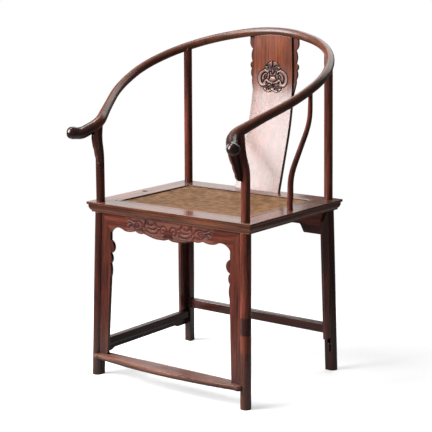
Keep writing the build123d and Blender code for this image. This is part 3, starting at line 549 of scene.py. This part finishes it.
def insideLine(spots, line):
    # Which spots lie within a closed line
    inside = np.zeros(len(spots), bool)
    for start, end in zip(line, np.roll(line, -1, axis=0)):
        crosses = (start[1] > spots[:, 1]) != (end[1] > spots[:, 1])
        rise = end[1] - start[1] if end[1] != start[1] else 1e-12
        reach = start[0] + (spots[:, 1] - start[1]) * (end[0] - start[0]) / rise
        inside ^= crosses & (spots[:, 0] < reach)
    return inside


def easeStep(value, low, high):
    share = np.clip((value - low) / (high - low), 0, 1)
    return share * share * (3 - 2 * share)


def grooveDepth(spots, values):
    # Gouge cuts with softly rounded shoulders, the same on both sides of the middle
    depth = np.zeros(len(spots))
    folded = np.stack([np.abs(spots[:, 0]), spots[:, 1]], axis=1)
    for groove in values["grooves"]:
        gap = lineDistance(folded, smoothLine([(x / 1000, z / 1000) for x, z in groove]))
        cut = values["cut"] * np.exp(-(gap / values["cutWidth"]) ** 2)
        depth = np.maximum(depth, cut + values["round"] * np.exp(-(gap / values["roundWidth"]) ** 2))
    return depth


def nodeTree(name):
    mesh = bmesh.new()
    mesh.from_mesh(cadNodes[name].data)
    tree = BVHTree.FromBMesh(mesh)
    mesh.free()
    return tree


def carvingGrid(values, columns, rows):
    # A grid with a layer for the relief, and how far out and what share of the way up each point is
    mesh = bmesh.new()
    bmesh.ops.create_grid(mesh, x_segments=columns, y_segments=rows, size=1)
    relief = mesh.verts.layers.float.new("relief")
    spots = np.array([vert.co[:2] for vert in mesh.verts])
    spots[:, 0] *= values["halfWidth"]
    spots[:, 1] = (spots[:, 1] + 1) / 2
    return mesh, relief, spots


def raiseCarving(mesh, relief, spots, face, stand, tones):
    # Sets each point before or behind the board's face, and notes its tone for the finish
    for vert, spot, y, up, tone in zip(mesh.verts, spots, face, stand, tones):
        vert.co = (spot[0], y - up, spot[1])
        vert[relief] = tone


def closeCarving(mesh, name, backs):
    # Closes the carved face with sides and a plain back, and fixes it to the chair
    faces = mesh.faces[:]
    made = bmesh.ops.extrude_face_region(mesh, geom=faces, use_keep_orig=True)["geom"]
    for vert in made:
        if isinstance(vert, bmesh.types.BMVert):
            vert.co.y = backs(vert.co.z)
    bmesh.ops.recalc_face_normals(mesh, faces=mesh.faces)
    piece = meshObject(mesh, name)
    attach(piece, "root")
    return piece


def makeMedallion():
    values = medallion
    splatTree = nodeTree("splat")
    beside = values["halfWidth"] + values["beside"]
    rows = int((values["high"] - values["low"]) / values["pitch"])
    columns = int(2 * values["halfWidth"] / values["pitch"])
    heights = np.linspace(values["low"], values["high"], rows + 1)
    faces = []   # the splat's face beside the pocket, at each height
    for z in heights:
        hit = splatTree.ray_cast(Vector((beside, -1, z)), inward)
        faces.append(hit[0].y)
    mesh, relief, spots = carvingGrid(values, columns, rows)
    spots[:, 1] = values["low"] + spots[:, 1] * (values["high"] - values["low"])
    flat = spots - np.array([0, values["middle"]])
    arcs = [arcLine(*arc)[:-1] for arc in values["outline"]]
    half = np.concatenate(arcs + [np.array([values["outline"][-1][-1]])])
    outline = np.concatenate([half, (half * np.array([-1, 1]))[::-1][1:-1]]) / 1000
    gap = lineDistance(flat, np.concatenate([outline, outline[:1]]))
    gap[~insideLine(flat, outline)] *= -1
    stand = easeStep(gap, *values["shoulder"]) * (values["rise"] + values["sink"]) - values["sink"]
    stand = np.maximum(stand - grooveDepth(flat, values), -values["sink"])
    face = np.interp(spots[:, 1], heights, faces)
    hollow, crown = values["tones"]
    raiseCarving(mesh, relief, spots, face, stand, np.clip((stand - hollow) / (crown - hollow), 0, 1))
    ground = values["leftOut"] - values["sink"]
    hidden = [cell for cell in mesh.faces if all(stand[vert.index] <= ground for vert in cell.verts)]
    bmesh.ops.delete(mesh, geom=hidden, context="FACES")
    return closeCarving(
        mesh, "splat_carving", lambda z: float(np.interp(z, heights, faces)) + values["back"],
    )


def makeApronCarving():
    values = apronCarving
    apronTree = nodeTree("front_apron")
    low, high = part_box("front_apron")
    aboveFoot, belowHead = values["faceIn"]
    probes = (low.z + aboveFoot, high.z - belowHead)   # the apron leans, so its face is felt at two heights
    faces = [apronTree.ray_cast(Vector((values["offMiddle"], -1, z)), inward)[0].y for z in probes]
    lean = (faces[1] - faces[0]) / (probes[1] - probes[0])
    stations = np.linspace(-values["halfWidth"], values["halfWidth"], values["columns"] + 1)
    behind, under = values["footIn"]
    feet = []
    for x in stations:   # the lobed lower edge
        hit = apronTree.ray_cast(Vector((x, faces[0] + behind, low.z - under)), upright)
        feet.append(hit[0].z)
    mesh, relief, spots = carvingGrid(values, values["columns"], values["rows"])
    foot = np.interp(spots[:, 0], stations, feet) + values["edgeIn"]
    head = high.z - values["topIn"]
    spots[:, 1] = foot + spots[:, 1] * (head - foot)
    share = easeStep(spots[:, 1] - foot, 0, values["foot"])
    share = share * easeStep(values["halfWidth"] - np.abs(spots[:, 0]), 0, values["ends"])
    cut = grooveDepth(spots, values)
    bead = np.exp(-((spots[:, 1] - foot - values["bead"]) / values["cutWidth"]) ** 2)
    bead = values["cut"] * values["beadShare"] * bead
    stand = (values["rise"] + values["sink"] - np.maximum(cut, bead)) * share - values["sink"]
    # no painted highlight and no painted shade where the carving runs out into the board
    tones = values["plain"] + share * (np.clip(1 - cut / values["hollowAt"], 0, 1) - values["plain"])
    raiseCarving(mesh, relief, spots, faces[0] + lean * (spots[:, 1] - probes[0]), stand, tones)
    return closeCarving(
        mesh, "front_apron_carving", lambda z: faces[0] + lean * (z - probes[0]) + values["back"],
    )


def carvedMaterial(name, carved, finish):
    # The node's own wood, with painted shade in the cuts and a painted highlight, with some wear, on the
    # high spots
    shift = list(nodeWoods).index(carved)
    material, tree, shader, place = woodMaterial(name, *nodeWoods[carved], shift)
    roughenWood(tree, shader, 1.0, finish["rougher"])
    shader.inputs["Specular IOR Level"].default_value = finish["specular"]
    shader.inputs["Coat Weight"].default_value = 0
    relief = addNode(tree, "Attribute", attribute_name="relief").outputs["Fac"]
    for part in ("crown", "hollow"):
        mask = rangeNode(tree, relief, *carvedTones[part])
        share = mathNode(tree, "MULTIPLY", mask, finish[part + "Share"])
        tintWood(tree, shader, share, finish[part])
    return material


carving = makeMedallion()
dress(carving, carvedMaterial("medallion_wood", "splat", medallion["finish"]))
print("medallion:", len(carving.data.polygons), "faces")
carving = makeApronCarving()
dress(carving, carvedMaterial("apron_carving_wood", "front_apron", apronCarving["finish"]))
print("apron carving:", len(carving.data.polygons), "faces")


# Woven cane seat

caneSeat = {
    "sag": 0.008, "ripple": 0.0005, "edgeIn": 0.0005, "columns": 72, "rows": 58, "thickness": 0.0016,
    "strand": 0.0028, "light": (0.30, 0.160, 0.078), "dark": (0.085, 0.040, 0.020),
    "roughness": (0.85, 0.65), "specular": 0.12, "bump": 0.8, "bumpDepth": 0.0005,
    "shadeGrimeReach": 0.05, "shadeGrimeShare": 0.75, "shadeGrimeColour": (0.05, 0.03, 0.02),
}
caneTint = {   # what makes a spot of the weave paler
    "strand": 0.35, "tintShare": 0.6, "fleck": 0.45, "crown": 0.35, "less": 0.4,
    "wornNoise": (16, 4, 0.6), "fleckScale": 55, "fleckRange": (0.38, 0.62),
    "strandStep": 1.37, "wayStep": 11.0,   # seeds, so that every strand has its own tint
}


def caneWeaveGroup():
    # A two-over-two-under twill of split cane
    tree, given, out = newGroup(
        "caneWeave",
        {"Vector": "Vector", "Strand": "Float", "Light": "Color", "Dark": "Color"},
        {"Color": "Color", "Height": "Float"},
    )
    parts = addNode(tree, "SeparateXYZ")
    tree.links.new(given["Vector"], parts.inputs[0])
    cell, within = [], []   # which strand, and how far across it
    for axis in (0, 1):
        along = mathNode(tree, "DIVIDE", parts.outputs[axis], given["Strand"])
        cell.append(mathNode(tree, "FLOOR", along))
        within.append(mathNode(tree, "FRACT", along))
    turn = mathNode(tree, "FLOORED_MODULO", mathNode(tree, "ADD", cell[0], cell[1]), 4.0)
    warpOver = mathNode(tree, "LESS_THAN", turn, 1.5)
    crowns, tints = [], []
    for axis in (0, 1):
        off = mathNode(tree, "MULTIPLY_ADD", within[axis], 2.0, -1.0)
        crowns.append(mathNode(tree, "MULTIPLY_ADD", mathNode(tree, "MULTIPLY", off, off), -1.0, 1.0))
        shade = addNode(tree, "TexWhiteNoise", noise_dimensions="1D")
        seed = mathNode(tree, "MULTIPLY_ADD", cell[axis], caneTint["strandStep"], caneTint["wayStep"] * axis)
        tree.links.new(seed, shade.inputs["W"])
        tints.append(shade.outputs["Value"])
    height = addNode(tree, "Mix")
    tint = addNode(tree, "Mix")
    for made, pair in ((height, crowns), (tint, tints)):
        tree.links.new(warpOver, made.inputs[0])
        tree.links.new(pair[1], made.inputs[2])
        tree.links.new(pair[0], made.inputs[3])
    tintShare = noiseNode(tree, given["Vector"], *caneTint["wornNoise"])
    fleck = noiseNode(tree, given["Vector"], caneTint["fleckScale"])
    fleck = rangeNode(tree, fleck, *caneTint["fleckRange"])
    share = mathNode(tree, "MULTIPLY", tintShare, caneTint["tintShare"])
    share = mathNode(tree, "MULTIPLY_ADD", tint.outputs[0], caneTint["strand"], share)
    share = mathNode(tree, "SUBTRACT", share, caneTint["less"])
    share = mathNode(tree, "MULTIPLY_ADD", fleck, caneTint["fleck"], share)
    share = mathNode(tree, "MULTIPLY_ADD", height.outputs[0], caneTint["crown"], share)
    tree.links.new(mixColour(tree, share, given["Dark"], given["Light"]), out["Color"])
    tree.links.new(height.outputs[0], out["Height"])
    return tree


def makeCaneSeat():
    low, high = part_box("cane_panel")
    mesh = bmesh.new()
    bmesh.ops.create_grid(mesh, x_segments=caneSeat["columns"], y_segments=caneSeat["rows"], size=1)
    halfX = high.x - caneSeat["edgeIn"]
    halfY = high.y - caneSeat["edgeIn"]
    bmesh.ops.scale(mesh, vec=(halfX, halfY, 1), verts=mesh.verts)
    for vert in mesh.verts:
        x, y = vert.co.x / halfX, vert.co.y / halfY
        ripple = caneSeat["ripple"] * sin(9 * x + 2 * y) * cos(7 * y - x)
        sag = caneSeat["sag"] * (1 - x ** 4) * (1 - y * y)
        vert.co.z = high.z - sag + ripple * (1 - x * x) * (1 - y * y)
    bmesh.ops.solidify(mesh, geom=mesh.faces[:], thickness=caneSeat["thickness"])
    bmesh.ops.recalc_face_normals(mesh, faces=mesh.faces)
    return meshObject(mesh, "cane_seat")


def caneMaterial():
    material, tree, shader = newMaterial("woven_cane")
    place = addNode(tree, "TexCoord").outputs["Object"]
    weave = useGroup(tree, caneWeaveGroup(), {
        "Vector": place, "Strand": caneSeat["strand"], "Light": caneSeat["light"], "Dark": caneSeat["dark"],
    })
    shadeGrime = useGroup(tree, shadeAndGrimeMask, {"Vector": place, "Reach": caneSeat["shadeGrimeReach"]})
    # painted shade, with dirt: the cane darkens where it meets the frame round its edges
    shadeAndDirt = mathNode(tree, "MULTIPLY", shadeGrime["Mask"], caneSeat["shadeGrimeShare"])
    colour = mixColour(tree, shadeAndDirt, weave["Color"], caneSeat["shadeGrimeColour"])
    tree.links.new(colour, shader.inputs["Base Color"])
    rough = rangeNode(tree, weave["Height"], 0.0, 1.0, *caneSeat["roughness"])
    tree.links.new(rough, shader.inputs["Roughness"])
    shader.inputs["Specular IOR Level"].default_value = caneSeat["specular"]
    bump = addNode(tree, "Bump", {"Strength": caneSeat["bump"], "Distance": caneSeat["bumpDepth"]})
    tree.links.new(weave["Height"], bump.inputs["Height"])
    tree.links.new(bump.outputs[0], shader.inputs["Normal"])
    return material


seat = makeCaneSeat()
dress(seat, caneMaterial())
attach(seat, "root")
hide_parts("cane_panel")
print("cane seat made")


# Floor, lights and camera

studio = {
    "floorSize": 14, "floorColour": 0.69, "floorBounce": 0.4, "floorGlow": 0.45, "floorFade": (0.45, 1.3),
    "floorRoughness": 0.9, "worldLight": 0.12,
    "key": {"place": (-1.6, -1.9, 1.97), "aim": (0, 0.1, 0.6), "size": (1.9, 2.0), "radiance": 17},
    "top": {"place": (-0.9, -0.3, 2.8), "aim": (0, 0, 0.6), "size": (0.9, 0.9), "radiance": 10},
    "rear": {"place": (-0.5, 2.9, 3.2), "aim": (0, 0, 0.8), "size": (4.6, 2.8), "radiance": 2.5},
    "back": {"place": (-2.9, 2.83, 1.1), "aim": (0, 0, 0.6), "size": (2.3, 1.7), "radiance": 0.95},
}
view = {
    "place": (2.37368, -3.16949, 1.25273), "forward": (-0.58765, 0.78593, -0.19231), "roll": -0.193,
    "lens": 114.03, "sensor": 36,
}


def makeFloor():
    mesh = bmesh.new()
    bmesh.ops.create_grid(mesh, x_segments=1, y_segments=1, size=studio["floorSize"] / 2)
    floor = meshObject(mesh, "floor", smooth=False)
    material, tree, shader = newMaterial("pale_floor")
    shader.inputs["Roughness"].default_value = studio["floorRoughness"]
    shader.inputs["Specular IOR Level"].default_value = 0.0
    # the floor looks paler than the light it throws back at the chair
    seen = addNode(tree, "LightPath").outputs["Is Camera Ray"]
    tone = rangeNode(tree, seen, 0.0, 1.0, studio["floorBounce"], studio["floorColour"], smooth=False)
    tree.links.new(tone, shader.inputs["Base Color"])
    shader.inputs["Emission Color"].default_value = (1, 1, 1, 1)
    tree.links.new(mathNode(tree, "MULTIPLY", seen, studio["floorGlow"]), shader.inputs["Emission Strength"])
    # far from the chair it fades into the white backdrop
    distance = addNode(tree, "VectorMath", operation="LENGTH")
    tree.links.new(addNode(tree, "TexCoord").outputs["Object"], distance.inputs[0])
    fade = rangeNode(tree, distance.outputs["Value"], *studio["floorFade"], 1.0, 0.0)
    tree.links.new(fade, shader.inputs["Alpha"])
    dress(floor, material)


def makeBackdrop():
    # White behind the chair, dim where it only lights it
    world = bpy.data.worlds.new("studio")
    world.use_nodes = True
    tree = world.node_tree
    seen = addNode(tree, "LightPath").outputs["Is Camera Ray"]
    strength = rangeNode(tree, seen, 0.0, 1.0, studio["worldLight"], 1.0, smooth=False)
    tree.links.new(strength, tree.nodes["Background"].inputs["Strength"])
    tree.nodes["Background"].inputs["Color"].default_value = (1, 1, 1, 1)
    bpy.context.scene.world = world


def makeSoftbox(name):
    values = studio[name]
    width, height = values["size"]
    light = bpy.data.lights.new(name, "AREA")
    light.shape = "RECTANGLE"
    light.size = width
    light.size_y = height
    light.energy = values["radiance"] * pi * width * height
    box = addObject(name, light)
    place = Vector(values["place"])
    box.location = place
    box.rotation_euler = (Vector(values["aim"]) - place).to_track_quat("-Z", "Y").to_euler()


def makeCamera():
    data = bpy.data.cameras.new("camera")
    data.lens = view["lens"]
    data.sensor_width = view["sensor"]
    camera = addObject("camera", data)
    camera.location = view["place"]
    aim = Vector(view["forward"]).to_track_quat("-Z", "Y")
    camera.rotation_mode = "QUATERNION"
    camera.rotation_quaternion = aim @ Quaternion((0, 0, 1), radians(view["roll"]))
    bpy.context.scene.camera = camera


makeFloor()
for name in ("key", "top", "rear", "back"):
    makeSoftbox(name)
makeCamera()
makeBackdrop()
bpy.context.scene.view_settings.view_transform = "Standard"
print("studio set")
